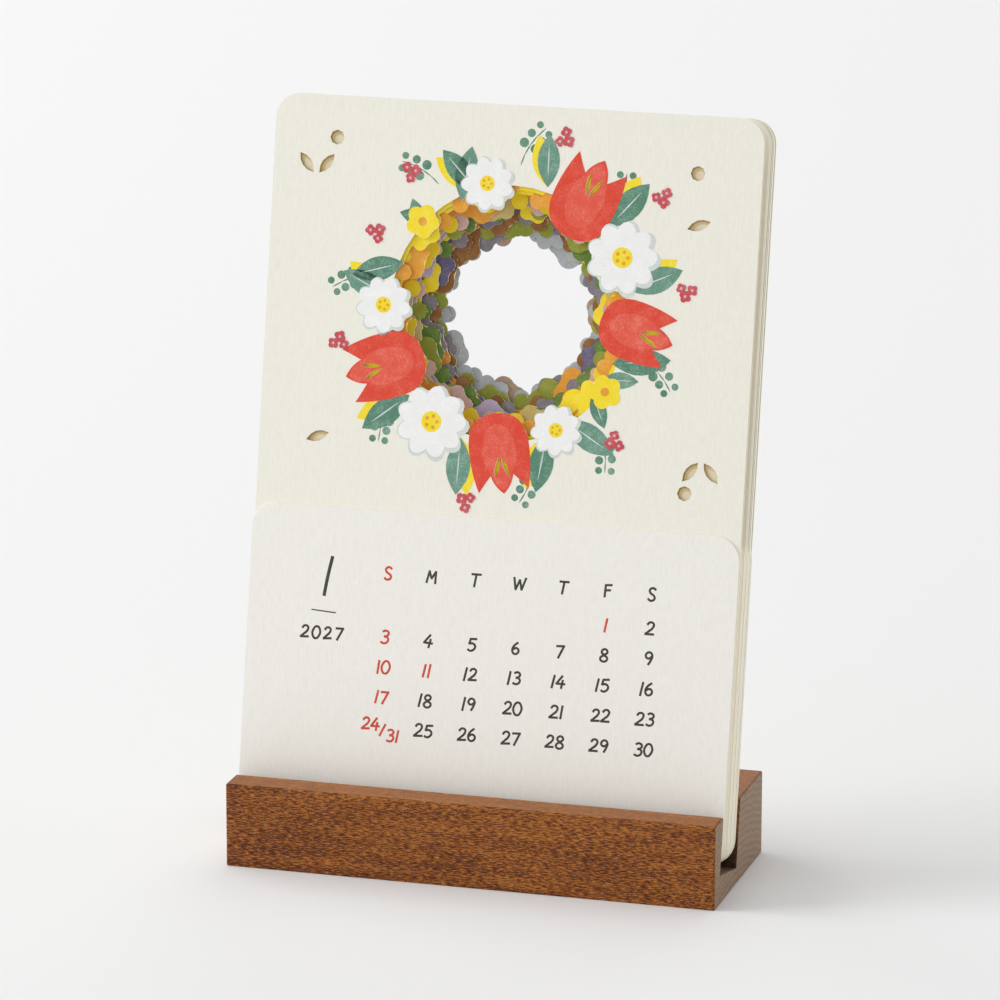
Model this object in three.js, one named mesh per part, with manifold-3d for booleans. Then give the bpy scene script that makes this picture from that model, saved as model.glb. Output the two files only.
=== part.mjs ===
// Desk calendar: a grooved wooden block that holds a leaning stack of loose cards.
// Twelve picture cards have die-cut windows that step down to a hole right through the stack.
// A short date card stands in front of each picture card.
// Units are millimetres. X runs to the right, Y to the back and Z up.
// The origin is the centre of the block's underside.

import * as THREE from 'three';
import Module from 'manifold-3d';

const wasm = await Module();
wasm.setup();
const { degToRad, radToDeg } = THREE.MathUtils;
const fullTurn = 2 * Math.PI;

// Cards
const monthCount = 12;
const cardThickness = 0.32;
const cardAir = 0.05;
const cardRadius = 5;
const cornerSteps = 3;
const pictureWidth = 100.4;
const pictureHeight = 148.3;
const dateOverlap = 0.15;
const dateHeight = 66.1;

// Stack: the front months stand slightly apart from the rest and lean a little less
const frontMonths = 3;
const groupGap = 1.7;
const groupSpread = degToRad(0.3);
const stackShift = -0.27;
const cardStagger = 0.12;
const staggerPhase = 2.4;

// Wooden block
const standOverhang = 0.3;
const frontWallTop = 6.7;
const rearWallTop = 18.6;
const floorUnderSlot = 3.5;
const slotDepth = 11.3;
const slotLean = degToRad(11.6);
const slotFrontRoom = 2.5;
const rearClearance = 0.3;
const footClearance = 0.3;
const edgeEase = 0.4;
const easeSteps = 3;
const bevelSteps = 2;

// Windows: the front one is the largest, and each one behind is a step smaller
const windowDrop = 41.4;
const windowHalfWidth = 24.5;
const windowHalfHeight = 25.5;
const windowStep = 0.78;
const windowSegments = 20;
const sectionTolerance = 0.005;

// Blossoms, and round buttons between them, that reach into the windows of the cards behind
const fewestBlossoms = 7;
const blossomSpread = 3;
const blossomStride = 2;
const blossomRadius = 4.3;
const blossomSwing = 1.1;
const blossomSeat = 1.2;
const blossomTurn = degToRad(137.5);
const petalNotch = 0.22;
const buttonRadius = 1.7;
const buttonSeat = -0.7;
const petalPoints = 5;
const fewestPetals = 5;
const petalSpread = 3;

// Small holes near the side edges of the front card: pairs of seeds, single seeds and dots
const holeInset = 9;
const seedLength = 5;
const seedBelly = 0.21;
const seedTurn = degToRad(38);
const seedStart = 0.9;
const dotRadius = 1.5;
const holeRows = [
  { side: -1, rise: 25, seeds: 2, turn: 90 },
  { side: -1, rise: 33, seeds: 0, step: 4 },
  { side: -1, rise: -28, seeds: 1, turn: 20 },
  { side: 1, rise: 30, seeds: 0, step: 4 },
  { side: 1, rise: 21, seeds: 1, turn: 200 },
  { side: 1, rise: -26, seeds: 2, turn: 270 },
  { side: 1, rise: -33, seeds: 0, step: 3 },
];

// Colours and finish
const woodColour = 0x8c5530;
const creamColour = 0xefebe0;
const whiteColour = 0xedebe4;
const woodRoughness = 0.7;
const paperRoughness = 0.9;

// Sizes that follow from the ones above
const layerPitch = cardThickness + cardAir;
const layerCount = 2 * monthCount;
const stackThickness = layerCount * layerPitch - cardAir + groupGap;
const slotWidth = rearClearance + stackThickness + slotFrontRoom;
const standWidth = pictureWidth + 2 * standOverhang;
const dateWidth = pictureWidth + 2 * dateOverlap;
const slotMouth = slotWidth / Math.cos(slotLean);
const standDepth = frontWallTop + slotMouth + rearWallTop;
const slotDrop = slotDepth * Math.cos(slotLean);
const floorFall = slotWidth * Math.sin(slotLean);
const standHeight = floorUnderSlot + floorFall + slotDrop;
const mouthFront = frontWallTop - standDepth / 2;
const slotCorner = new THREE.Vector2(
  mouthFront - slotDepth * Math.sin(slotLean) + slotWidth * Math.cos(slotLean),
  floorUnderSlot,
);

// Motifs on the front card: angle round the window, distance out from its edge, size, and the turn
// of the motif from pointing straight outwards
const frontMotifs = [
  { kind: 'leaf', angle: 158, out: -1, size: 11, turn: 38 },
  { kind: 'leaf', angle: 176, out: 0, size: 11, turn: -22 },
  { kind: 'leaf', angle: 222, out: 1, size: 12, turn: -4 },
  { kind: 'leaf', angle: 252, out: 1, size: 11.5, turn: 16 },
  { kind: 'leaf', angle: 292, out: 0, size: 11.5, turn: -30 },
  { kind: 'leaf', angle: 303, out: -1, size: 12, turn: 26 },
  { kind: 'daisy', angle: 180, out: 1, size: 6, turn: 10 },
  { kind: 'tulip', angle: 206, out: 2.5, size: 8.2, turn: -8 },
  { kind: 'daisy', angle: 238, out: 1.5, size: 7.7, turn: 0 },
  { kind: 'tulip', angle: 270, out: 2, size: 7.8, turn: 10 },
  { kind: 'daisy', angle: 297, out: 0, size: 5.4, turn: 10 },
  { kind: 'leaf', angle: 116, out: -1, size: 11, turn: -34 },
  { kind: 'leaf', angle: 108, out: 0, size: 10.5, turn: 26 },
  { kind: 'leaf', angle: 75, out: 1, size: 10.5, turn: 16 },
  { kind: 'leaf', angle: 43, out: 2, size: 12, turn: 6 },
  { kind: 'leaf', angle: 14, out: 1, size: 11.5, turn: 10 },
  { kind: 'leaf', angle: -21, out: -1, size: 12, turn: 28 },
  { kind: 'daisy', angle: 102, out: 0.5, size: 5.7, turn: 0 },
  { kind: 'tulip', angle: 58, out: 2.5, size: 8.2, turn: 8 },
  { kind: 'daisy', angle: 28, out: 1.5, size: 7.7, turn: 12 },
  { kind: 'tulip', angle: -4, out: 2, size: 7.5, turn: -12 },
  { kind: 'leaf', angle: 141, out: -1.5, size: 7.5, turn: -30 },
  { kind: 'leaf', angle: 133, out: -1.5, size: 7.5, turn: 34 },
  { kind: 'bloom', angle: 137, out: 0.4, size: 3.5, turn: 0 },
  { kind: 'leaf', angle: 322, out: -1.5, size: 7.5, turn: -30 },
  { kind: 'leaf', angle: 330, out: -1.5, size: 7.5, turn: 30 },
  { kind: 'bloom', angle: 326, out: 0.4, size: 3.5, turn: 0 },
];
const daisyPetals = 9;
const bloomPetals = 5;
const leafBelly = 0.22;
const curveSteps = 4;

// Half of a tulip seen from the side, for a radius of one, from its base along one side to its tip:
// an end point, then pairs of a control point and an end point
const tulipHalf = [
  [-1, 0],
  [-1, -0.82], [-0.05, -0.8],
  [0.5, -0.8], [0.98, -0.66],
  [0.74, -0.46], [0.58, -0.3],
  [0.86, -0.24], [1.06, 0],
];

// Slits cut through each tulip, one on each side of its middle petal, and how far from the
// tulip's centre they start
const slitLength = 4.4;
const slitBelly = 0.1;
const slitSpread = degToRad(16);
const slitStart = 0.9;

// Outline to flat section, and a section raised to a card's thickness
function sectionOf(shape, steps = curveSteps) {
  const points = shape.getPoints(steps).map(({ x, y }) => [x, y]);
  return new wasm.CrossSection([points], 'NonZero');
}

function placedSection(shape, turn, x, y) {
  return sectionOf(shape).rotate(radToDeg(turn)).translate([x, y]);
}

function raised(section) {
  const loops = section.simplify(sectionTolerance).toPolygons()
    .map((loop) => loop.map(([x, y]) => new THREE.Vector2(x, y)))
    .sort((one, other) => THREE.ShapeUtils.area(other) - THREE.ShapeUtils.area(one));
  const shape = new THREE.Shape(loops[0]);
  shape.holes = loops.filter((loop) => THREE.ShapeUtils.isClockWise(loop))
    .map((loop) => new THREE.Path(loop));
  return new THREE.ExtrudeGeometry(shape, { depth: cardThickness, bevelEnabled: false });
}

// Flat outlines
function roundedCard(width, height) {
  const half = width / 2;
  const r = cardRadius;
  const shape = new THREE.Shape();
  shape.moveTo(r - half, 0);
  shape.lineTo(half - r, 0);
  shape.absarc(half - r, r, r, -Math.PI / 2, 0);
  shape.absarc(half - r, height - r, r, 0, Math.PI / 2);
  shape.absarc(r - half, height - r, r, Math.PI / 2, Math.PI);
  shape.absarc(r - half, r, r, Math.PI, 1.5 * Math.PI);
  return shape;
}

function petalledDisc(radius, petals, notch) {
  const points = [];
  const count = petals * petalPoints;
  for (let i = 0; i < count; i += 1) {
    const angle = (fullTurn * i) / count;
    const r = radius * (1 - notch + notch * Math.abs(Math.cos((petals * angle) / 2)));
    points.push(new THREE.Vector2(r * Math.cos(angle), r * Math.sin(angle)));
  }
  return new THREE.Shape(points);
}

function disc(radius) {
  const shape = new THREE.Shape();
  shape.absarc(0, 0, radius, 0, fullTurn);
  return shape;
}

function leafOutline(length, belly = leafBelly) {
  const pull = 2 * belly * length;
  const shape = new THREE.Shape();
  shape.moveTo(0, 0);
  shape.quadraticCurveTo(length / 2, -pull, length, 0);
  shape.quadraticCurveTo(length / 2, pull, 0, 0);
  return shape;
}

function tulipOutline(radius) {
  const mirrored = tulipHalf.slice(0, -1).reverse().map(([x, y]) => [x, -y]);
  const [start, ...rest] = [...tulipHalf, ...mirrored].map(([x, y]) => [radius * x, radius * y]);
  const shape = new THREE.Shape();
  shape.moveTo(...start);
  for (let i = 0; i < rest.length; i += 2) shape.quadraticCurveTo(...rest[i], ...rest[i + 1]);
  return shape;
}

const motifOutlines = {
  leaf: (length) => leafOutline(length),
  tulip: tulipOutline,
  daisy: (radius) => petalledDisc(radius, daisyPetals, petalNotch),
  bloom: (radius) => petalledDisc(radius, bloomPetals, petalNotch),
};

// Windows, as flat sections
const windowCentreY = pictureHeight - windowDrop;

function windowSize(month) {
  const shrink = windowStep * (month - 1);
  return { halfWidth: windowHalfWidth - shrink, halfHeight: windowHalfHeight - shrink };
}

function rimPoint(month, angle, out) {
  const { halfWidth, halfHeight } = windowSize(month);
  const x = Math.cos(angle);
  const y = Math.sin(angle);
  const reach = 1 / Math.hypot(x / halfWidth, y / halfHeight);
  return { x: x * (reach + out), y: windowCentreY + y * (reach + out) };
}

function ovalSection(month) {
  const { halfWidth, halfHeight } = windowSize(month);
  const oval = new THREE.Shape();
  oval.absellipse(0, windowCentreY, halfWidth, halfHeight, 0, fullTurn, false, 0);
  return sectionOf(oval, windowSegments);
}

function frontWindow() {
  let cut = ovalSection(1);
  for (const motif of frontMotifs) {
    const angle = degToRad(motif.angle);
    const place = rimPoint(1, angle, motif.out);
    const outline = motifOutlines[motif.kind](motif.size);
    cut = cut.subtract(placedSection(outline, angle + degToRad(motif.turn), place.x, place.y));
  }
  return cut;
}

function innerWindow(month) {
  let cut = ovalSection(month);
  const count = fewestBlossoms + (month * blossomStride) % blossomSpread;
  const petals = fewestPetals + (month % petalSpread);
  for (let i = 0; i < count; i += 1) {
    const angle = (fullTurn * i) / count + blossomTurn * month;
    const radius = blossomRadius + blossomSwing * Math.sin(angle * 2 + month);
    const place = rimPoint(month, angle, blossomSeat);
    const outline = petalledDisc(radius, petals, petalNotch);
    cut = cut.subtract(placedSection(outline, angle * 2, place.x, place.y));
    const seat = rimPoint(month, angle + Math.PI / count, buttonSeat);
    cut = cut.subtract(placedSection(disc(buttonRadius), 0, seat.x, seat.y));
  }
  return cut;
}

// Small holes in the front card
function smallHoles() {
  const holes = [];
  for (const { side, rise, seeds, turn = 0, step = 0 } of holeRows) {
    const x = side * (pictureWidth / 2 - holeInset - step);
    const y = windowCentreY + rise;
    if (seeds === 0) holes.push(placedSection(disc(dotRadius), 0, x, y));
    for (let i = 0; i < seeds; i += 1) {
      const heading = degToRad(turn) + (seeds === 1 ? 0 : seedTurn * (2 * i - 1));
      const seed = leafOutline(seedLength, seedBelly);
      const seedX = x + seedStart * Math.cos(heading);
      const seedY = y + seedStart * Math.sin(heading);
      holes.push(placedSection(seed, heading, seedX, seedY));
    }
  }
  return holes;
}

function tulipSlits() {
  const slits = [];
  for (const motif of frontMotifs.filter(({ kind }) => kind === 'tulip')) {
    const angle = degToRad(motif.angle);
    const place = rimPoint(1, angle, motif.out);
    const turn = angle + degToRad(motif.turn);
    for (const side of [-1, 1]) {
      const heading = turn + side * slitSpread;
      const x = place.x + slitStart * Math.cos(heading);
      const y = place.y + slitStart * Math.sin(heading);
      slits.push(placedSection(leafOutline(slitLength, slitBelly), heading, x, y));
    }
  }
  return slits;
}

// Pieces
function mesh(name, geometry, color, roughness) {
  const material = new THREE.MeshStandardMaterial({ color, roughness, metalness: 0 });
  const piece = new THREE.Mesh(geometry, material);
  piece.name = name;
  return piece;
}

function easedCorners(points) {
  const shape = new THREE.Shape();
  points.forEach((corner, i) => {
    const before = points[(i + points.length - 1) % points.length];
    const after = points[(i + 1) % points.length];
    if (!corner.eased) {
      shape.lineTo(corner.x, corner.y);
      return;
    }
    const start = new THREE.Vector2(before.x - corner.x, before.y - corner.y).setLength(edgeEase);
    const end = new THREE.Vector2(after.x - corner.x, after.y - corner.y).setLength(edgeEase);
    if (i === 0) shape.moveTo(corner.x + start.x, corner.y + start.y);
    else shape.lineTo(corner.x + start.x, corner.y + start.y);
    shape.quadraticCurveTo(corner.x, corner.y, corner.x + end.x, corner.y + end.y);
  });
  return shape;
}

function stand() {
  const front = -standDepth / 2;
  const back = standDepth / 2;
  const mouthRear = mouthFront + slotMouth;
  const floorFront = {
    x: slotCorner.x - slotWidth * Math.cos(slotLean),
    y: slotCorner.y + floorFall,
  };
  const section = easedCorners([
    { x: front, y: 0, eased: true },
    { x: back, y: 0, eased: true },
    { x: back, y: standHeight, eased: true },
    { x: mouthRear, y: standHeight, eased: true },
    { x: slotCorner.x, y: slotCorner.y },
    floorFront,
    { x: mouthFront, y: standHeight, eased: true },
    { x: front, y: standHeight, eased: true },
  ]);
  const geometry = new THREE.ExtrudeGeometry(section, {
    depth: standWidth - 2 * edgeEase,
    bevelEnabled: true,
    bevelThickness: edgeEase,
    bevelSize: edgeEase / 2,
    bevelOffset: -edgeEase / 2,
    bevelSegments: bevelSteps,
    curveSegments: easeSteps,
  });
  geometry.translate(0, 0, edgeEase - standWidth / 2);
  const across = new THREE.Vector3(1, 0, 0);
  const along = new THREE.Vector3(0, 1, 0);
  const up = new THREE.Vector3(0, 0, 1);
  geometry.applyMatrix4(new THREE.Matrix4().makeBasis(along, up, across));
  return mesh('stand', geometry, woodColour, woodRoughness);
}

function monthName(kind, month) {
  return `${kind}_${String(month).padStart(2, '0')}`;
}

function pictureCard(month) {
  let section = sectionOf(roundedCard(pictureWidth, pictureHeight), cornerSteps);
  if (month === 1) {
    section = section.subtract(frontWindow());
    for (const hole of [...smallHoles(), ...tulipSlits()]) section = section.subtract(hole);
  } else {
    section = section.subtract(innerWindow(month));
  }
  return mesh(monthName('picture_card', month), raised(section), creamColour, paperRoughness);
}

function dateCard(month) {
  const section = sectionOf(roundedCard(dateWidth, dateHeight), cornerSteps);
  return mesh(monthName('date_card', month), raised(section), whiteColour, paperRoughness);
}

// Assembly: cards are placed in the slot's own frame, with its Y up the slot and its Z forwards
const calendar = new THREE.Group();
calendar.add(stand());

const slot = new THREE.Group();
slot.position.set(0, slotCorner.x, slotCorner.y);
slot.rotation.x = Math.PI / 2 - slotLean;
calendar.add(slot);

const rearLayers = 2 * (monthCount - frontMonths);
const frontGroup = new THREE.Group();
frontGroup.position.set(0, footClearance, rearClearance + rearLayers * layerPitch + groupGap);
frontGroup.rotation.x = groupSpread;
slot.add(frontGroup);

const rearGroup = new THREE.Group();
rearGroup.position.set(0, footClearance, rearClearance);
slot.add(rearGroup);

function place(card, layer, inFront) {
  const height = layer - (inFront ? rearLayers : 0);
  const stagger = cardStagger * Math.sin(staggerPhase * layer);
  card.position.set(stackShift + stagger, 0, height * layerPitch);
  (inFront ? frontGroup : rearGroup).add(card);
}

for (let month = 1; month <= monthCount; month += 1) {
  const layer = 2 * (monthCount - month);
  const inFront = month <= frontMonths;
  place(pictureCard(month), layer, inFront);
  place(dateCard(month), layer + 1, inFront);
}

export default calendar;
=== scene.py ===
import math
import random

import bmesh
import bpy
from mathutils import Matrix, Vector


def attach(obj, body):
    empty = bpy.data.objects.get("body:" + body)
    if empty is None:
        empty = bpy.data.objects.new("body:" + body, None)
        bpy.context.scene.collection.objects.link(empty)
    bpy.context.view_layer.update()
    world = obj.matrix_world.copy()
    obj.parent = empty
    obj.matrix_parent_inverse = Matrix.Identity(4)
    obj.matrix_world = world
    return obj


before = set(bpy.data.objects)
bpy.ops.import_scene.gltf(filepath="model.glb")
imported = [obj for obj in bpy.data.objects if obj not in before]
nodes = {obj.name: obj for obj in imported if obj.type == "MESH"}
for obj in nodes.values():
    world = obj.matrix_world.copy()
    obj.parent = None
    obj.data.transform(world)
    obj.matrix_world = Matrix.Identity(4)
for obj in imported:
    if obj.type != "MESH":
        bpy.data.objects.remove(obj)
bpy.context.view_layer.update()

# Cards, in millimetres on the card: X from its middle, Y from its bottom edge
MM = 0.001
MONTHS = 12
FRONT_MONTHS = 3
SLOT_LEAN = math.radians(11.6)
FRONT_LEAN = SLOT_LEAN - math.radians(0.3)
PICTURE_WIDTH = 100.4
PICTURE_HEIGHT = 148.3

# Printed fields: the thickness of one layer of ink, and the small steps in height, taken in turn, that
# keep the fields of one layer apart
INK = 0.01
UNEVENNESS = 0.0012
UNEVEN_STEPS = 7

# The stand's slot: the corners of its floor lie between these heights, and no other corner does
SLOT_FOOT = 1
SLOT_HEAD = 16
# Depth in the wood up to which a wall or the floor counts as inside the slot
SLOT_SKIN = 0.02
# Heights above the slot's floor where the painted shade in the sawn slot begins, and where it is deepest
SLOT_SHADE_FROM = 10
SLOT_SHADE_FULL = 4

# Windows, as they are cut in the cards
WINDOW_Y = PICTURE_HEIGHT - 41.4
WINDOW_HALF_WIDTH = 24.5
WINDOW_HALF_HEIGHT = 25.5
WINDOW_STEP = 0.78
FEWEST_BLOSSOMS = 7
BLOSSOM_SPREAD = 3
BLOSSOM_STRIDE = 2
BLOSSOM_RADIUS = 4.3
BLOSSOM_SWING = 1.1
BLOSSOM_SEAT = 1.2
BLOSSOM_TURN = math.radians(137.5)
FEWEST_PETALS = 5
PETAL_SPREAD = 3
PETAL_NOTCH = 0.22
PETAL_POINTS = 10
BUTTON_RADIUS = 1.7
BUTTON_SEAT = -0.7
LEAF_BELLY = 0.22
CURVE_STEPS = 8
DISC_POINTS = 24
SMALL_DISC_POINTS = 10
# Printed round them: how far the field of ink reaches, the hearts' share of their blossoms, the layers
RIM_FIELD = 37
HEART_SHARE = 0.24
RIM_LAYER = 1
HEART_LAYER = 2

# Motifs on the front card: kind, angle round the window, distance out from its edge, size, turn
FRONT_MOTIFS = [
    ("leaf", 158, -1, 11, 38),
    ("leaf", 176, 0, 11, -22),
    ("leaf", 222, 1, 12, -4),
    ("leaf", 252, 1, 11.5, 16),
    ("leaf", 292, 0, 11.5, -30),
    ("leaf", 303, -1, 12, 26),
    ("daisy", 180, 1, 6, 10),
    ("tulip", 206, 2.5, 8.2, -8),
    ("daisy", 238, 1.5, 7.7, 0),
    ("tulip", 270, 2, 7.8, 10),
    ("daisy", 297, 0, 5.4, 10),
    ("leaf", 116, -1, 11, -34),
    ("leaf", 108, 0, 10.5, 26),
    ("leaf", 75, 1, 10.5, 16),
    ("leaf", 43, 2, 12, 6),
    ("leaf", 14, 1, 11.5, 10),
    ("leaf", -21, -1, 12, 28),
    ("daisy", 102, 0.5, 5.7, 0),
    ("tulip", 58, 2.5, 8.2, 8),
    ("daisy", 28, 1.5, 7.7, 12),
    ("tulip", -4, 2, 7.5, -12),
    ("leaf", 141, -1.5, 7.5, -30),
    ("leaf", 133, -1.5, 7.5, 34),
    ("bloom", 137, 0.4, 3.5, 0),
    ("leaf", 322, -1.5, 7.5, -30),
    ("leaf", 330, -1.5, 7.5, 30),
    ("bloom", 326, 0.4, 3.5, 0),
]
# Leaves: the yellow one behind is turned a little, and the vein runs along the middle
SHADOW_TURN = 0.2
VEIN_START = 0.2
VEIN_LENGTH = 0.62
VEIN_BELLY = 0.018
# Daisies: the white petals are smaller than their shade, and printed a little off it
DAISY_PETALS = 9
DAISY_SHARE = 0.93
DAISY_TURN = 0.06
DAISY_SHIFT = Vector((-0.03125, 0.0375))
DAISY_HEART = 0.27
DAISY_DOTS = 5
DAISY_DOT_REACH = 0.15
DAISY_DOT_RADIUS = 0.05
BLOOM_PETALS = 5
BLOOM_HEART = 0.25
# Tulips, one unit in radius: half the outline, and half the middle petal's
TULIP_HALF = [
    (-1, 0),
    (-1, -0.82), (-0.05, -0.8),
    (0.5, -0.8), (0.98, -0.66),
    (0.74, -0.46), (0.58, -0.3),
    (0.86, -0.24), (1.06, 0),
]
MIDDLE_PETAL_HALF = [
    (-0.72, 0),
    (-0.72, -0.36), (-0.1, -0.44),
    (0.3, -0.48), (0.54, -0.27),
    (0.84, -0.2), (0.98, 0),
]
# Slits beside the middle petal, and the cutter that opens the ink over them
SLIT_LENGTH = 4.4
SLIT_BELLY = 0.1
SLIT_SPREAD = math.radians(16)
SLIT_START = 0.9
CUTTER_FOOT = -1
CUTTER_THICKNESS = 3

# Small printed sprays outside the flowers: angle round the window and the way they bend
SPRIGS = ((168, 1), (220, 1), (284, -1), (313, -1), (122, 1), (88, -1), (45, 1), (-14, -1))
SPRIG_OUT = 4
SPRIG_TURN = 16
SPRIG_BEND = 9
SPRIG_STEPS = 4
STEM_LENGTH = 2.7
STEM_BELLY = 0.05
STEM_STEP = 2.2
LEAFLET_OUT = 1.3
LEAFLET_RADIUS = 1.1
LEAFLET_TAPER = 0.13
LEAFLET_POINTS = 16
# Crimson florets in threes: angle round the window and distance out from its edge
FLORETS = ((151, 6.5), (191, 10.5), (259, 12.5), (313, 8), (127, 9), (73, 11), (38, 14), (9, 12))
FLORET_REACHES = (0, 1.9, 1.8)
FLORET_TURN = 75
FLORET_START = -40
FLORET_RADIUS = 1.25
FLORET_TAPER = 0.1
FLORET_PETALS = 4
FLORET_NOTCH = 0.3
FLORET_HEART = 0.3
# Layers of ink on the front card, counted from the paper
LAYERS = {
    "stems": 1,
    "leaflets": 1,
    "shadow_leaves": 2,
    "leaves": 3,
    "veins": 4,
    "tulips": 5,
    "tulip_hearts": 6,
    "daisy_shade": 5,
    "daisies": 6,
    "daisy_hearts": 7,
    "daisy_dots": 8,
    "blooms": 5,
    "bloom_hearts": 6,
    "florets_0": 9,
    "floret_hearts_0": 10,
    "florets_1": 11,
    "floret_hearts_1": 12,
    "florets_2": 13,
    "floret_hearts_2": 14,
}

# Small holes in the front card: side, distance in from the side edge, height above the window's
# centre, number of seeds and the way they point; a hole with no seeds is a dot
HOLES = (
    (-1, 9, 25, 2, 90),
    (-1, 13, 33, 0, 0),
    (-1, 9, -28, 1, 20),
    (1, 13, 30, 0, 0),
    (1, 9, 21, 1, 200),
    (1, 9, -26, 2, 270),
    (1, 12, -33, 0, 0),
)
SEED_LENGTH = 5
SEED_BELLY = 0.21
SEED_TURN = 38
SEED_START = 0.9
DOT_RADIUS = 1.5
# Painted shade seen through them, darker at the upper left: ink, share of the hole, shift to the lower
# right
HOLE_SHADE_TONES = (("tan_dark", 1.2, 0), ("tan", 0.92, 0.3), ("tan_light", 0.66, 0.5))
HOLE_LAYER = 2

# Plain pen figures, each one unit high, as strokes
LINE, CURVE, LOOP = "line", "curve", "loop"
GLYPHS = {
    "0": [([(0, 0.5), (-0.28, 0.2), (-0.26, -0.25), (0, -0.5), (0.27, -0.22), (0.27, 0.22)], LOOP)],
    "1": [([(0.03, 0.5), (-0.03, -0.5)], LINE)],
    "2": [([(-0.27, 0.26), (-0.08, 0.48), (0.2, 0.38), (0.18, 0.08), (-0.06, -0.2), (-0.3, -0.45)], CURVE),
          ([(-0.3, -0.45), (0.32, -0.42)], LINE)],
    "3": [([(-0.25, 0.4), (0.02, 0.5), (0.24, 0.32), (0.12, 0.1), (-0.08, 0.04)], CURVE),
          ([(-0.08, 0.04), (0.2, -0.02), (0.28, -0.26), (0.05, -0.48), (-0.28, -0.4)], CURVE)],
    "4": [([(0.08, 0.5), (-0.32, -0.14), (0.34, -0.16)], LINE), ([(0.16, 0.14), (0.1, -0.5)], LINE)],
    "5": [([(0.28, 0.47), (-0.16, 0.45), (-0.22, 0.06)], LINE),
          ([(-0.22, 0.06), (0.06, 0.1), (0.27, -0.12), (0.16, -0.4), (-0.08, -0.49),
            (-0.3, -0.38)], CURVE)],
    "6": [([(0.14, 0.5), (-0.16, 0.2), (-0.27, -0.16), (-0.1, -0.46), (0.16, -0.42), (0.24, -0.16),
            (0.04, 0.02), (-0.24, -0.12)], CURVE)],
    "7": [([(-0.28, 0.44), (0.28, 0.46), (-0.08, -0.5)], LINE)],
    "8": [([(0.02, 0.02), (-0.22, 0.26), (0, 0.5), (0.23, 0.28), (-0.02, 0.02), (-0.27, -0.26), (0, -0.5),
            (0.28, -0.26)], LOOP)],
    "9": [([(0.24, 0.22), (0.04, 0.02), (-0.2, 0.1), (-0.22, 0.36), (0.02, 0.5), (0.24, 0.3), (0.2, -0.1),
            (0.04, -0.5)], CURVE)],
    "S": [([(0.25, 0.36), (0, 0.5), (-0.23, 0.32), (-0.12, 0.08), (0.14, -0.08), (0.24, -0.32),
            (-0.02, -0.5), (-0.28, -0.36)], CURVE)],
    "M": [([(-0.36, -0.48), (-0.26, 0.46), (0, -0.12), (0.27, 0.46), (0.36, -0.5)], LINE)],
    "T": [([(-0.34, 0.45), (0.34, 0.47)], LINE), ([(0, 0.46), (-0.03, -0.5)], LINE)],
    "W": [([(-0.46, 0.46), (-0.24, -0.46), (0, 0.3), (0.22, -0.46), (0.46, 0.46)], LINE)],
    "F": [([(-0.2, -0.5), (-0.2, 0.45), (0.28, 0.47)], LINE), ([(-0.2, 0.02), (0.2, 0.04)], LINE)],
}
WIDE = {"M": 1.2, "W": 1.3, "1": 0.5}
FIGURE_WIDTH = 1.05
FIGURE_SPREAD = 0.82
PEN_SLANT = 0.1
# The pen's unevenness: turn in radians, size and drop
PEN_TURN = 0.05
PEN_SIZE = 0.04
PEN_DROP = 0.06
# How far single lines overlap at a corner, in pen radii
PEN_OVERLAP = 0.6
PEN_SEED = 12

# The month's grid on the front date card
PEN = 0.23
WEEK = "SMTWTFS"
COLUMN_LEFT = -21.3
COLUMN_PITCH = 9.08
HEADER_Y = 53.6
HEADER_HEIGHT = 2.5
ROW_TOP = 46.8
ROW_PITCH = 6.02
DATE_HEIGHT = 2.5
FIRST_COLUMN = 5
DAYS = 31
REST_DAYS = {1, 11}
# Two days share one place: their size, where they stand from its middle, and the stroke between them
UPPER_DAY = 24
LOWER_DAY = 31
SHARED_HEIGHT = 0.95 * DATE_HEIGHT
UPPER_SHIFT = (-2, 0.5)
LOWER_SHIFT = (2.7, -1.6)
SHARED_STROKE = ((1.1, 0.6), (0, -1.7))
# The month's number, which is a single stroke, the rule below it and the year
MONTH_STROKE = [(-33.1, 56.2), (-33.9, 52.1), (-34.5, 48.1)]
MONTH_PEN = 1.5 * PEN
RULE = [(-36.9, 45.2), (-31.9, 44.9)]
RULE_PEN = 0.55 * PEN
YEAR = "2027"
YEAR_PLACE = (-34.5, 40.7)
YEAR_SPREAD = 0.95
FIGURE_LAYER = 2

# Camera: a long lens a little over a metre away, to the right and above; its place is in metres, its
# turns in degrees, its lens and sensor in millimetres
CAMERA_PLACE = (0.3205, -1.1070, 0.3785)
CAMERA_TURN = -16.103
CAMERA_TILT = -14.762
CAMERA_ROLL = 0.101
CAMERA_LENS = 216.2
CAMERA_SENSOR = 36

# Studio, in metres and watts; of each lamp its name, place, size, power and the place it is turned to
FLOOR_SIZE = 8
FLOOR_MIDDLE = (0, 1.5, 0)
WORLD_STRENGTH = 0.58
LAMPS = (
    ("key", (-2.8, -0.7, 1.4), 1.7, 64, (0, 0, 0.06)),
    ("front_fill", (-1.8, -2.4, 1.4), 2, 8, (0, 0, 0.06)),
    ("right_fill", (2.4, 0.8, 1.6), 1.5, 5, (0, 0, 0.06)),
    ("left_back_light", (-2.4, 1.2, 1.4), 1.6, 14, (0, 0.3, 0)),
    ("back_light", (0, 3.4, 1.8), 2.4, 19, (0, 1.2, 0)),
)

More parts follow.
